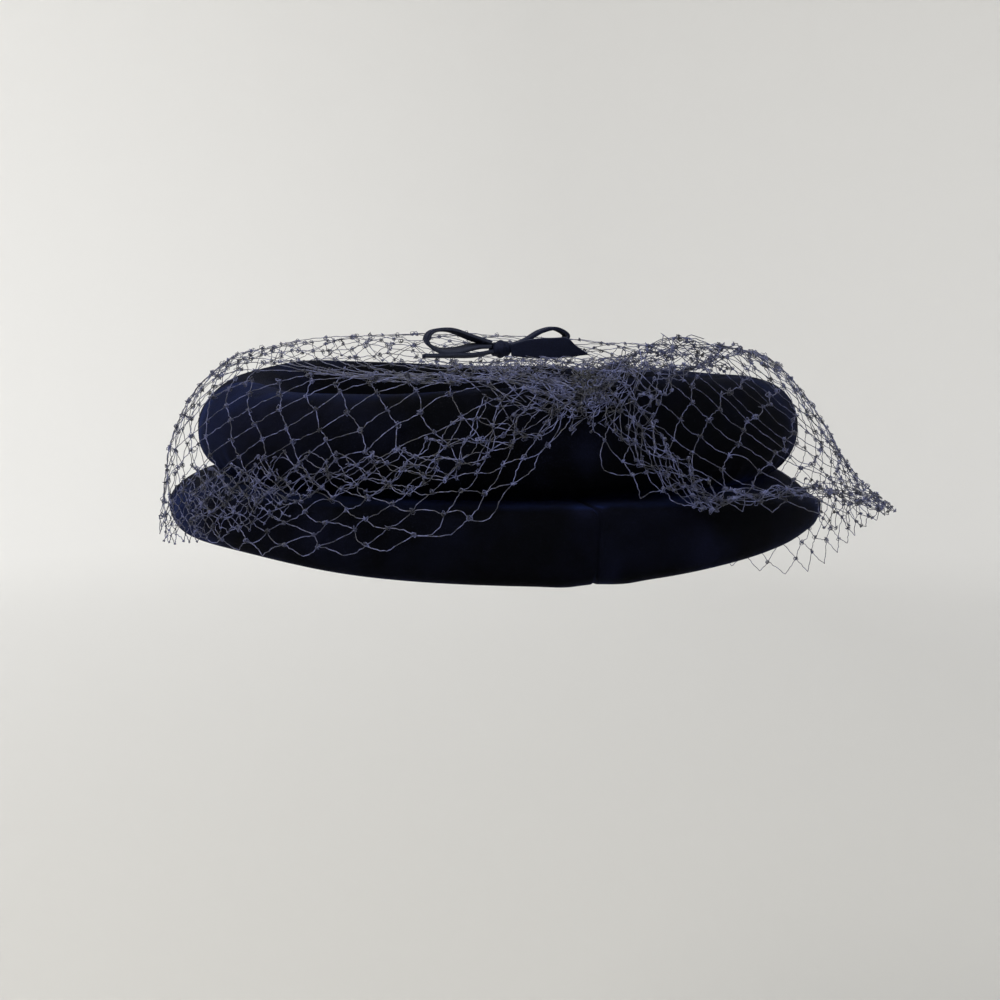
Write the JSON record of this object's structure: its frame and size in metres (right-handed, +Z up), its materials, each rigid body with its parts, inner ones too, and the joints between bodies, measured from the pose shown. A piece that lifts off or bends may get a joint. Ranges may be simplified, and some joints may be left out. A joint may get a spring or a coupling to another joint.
{
  "type": "open crown pillbox hat with veil",
  "caption": "Velvet pillbox hat with a puffed ring crown, open on top, a turned-up cuff, a coarse gathered veil and a small ribbon bow.",
  "frame": {"origin": "the middle of the head opening, in the plane of the rim, where a head meets the hat", "axes": "+Z up out of the crown, -Y where the wearer faces, +X to the wearer's left"},
  "size_m": [0.2308, 0.2267, 0.0921],
  "materials": {
    "velvet": "navy silk velvet, deep pile",
    "netting": "navy knotted veiling thread",
    "ribbon": "navy velvet ribbon with a woven back"
  },
  "bodies": {
    "root": {"crown": "velvet", "cuff": "velvet", "veil": "netting", "bow_knot": "ribbon", "bow_loop_left": "ribbon", "bow_loop_right": "ribbon", "bow_tail_left": "ribbon", "bow_tail_right": "ribbon"}
  },
  "joints": []
}
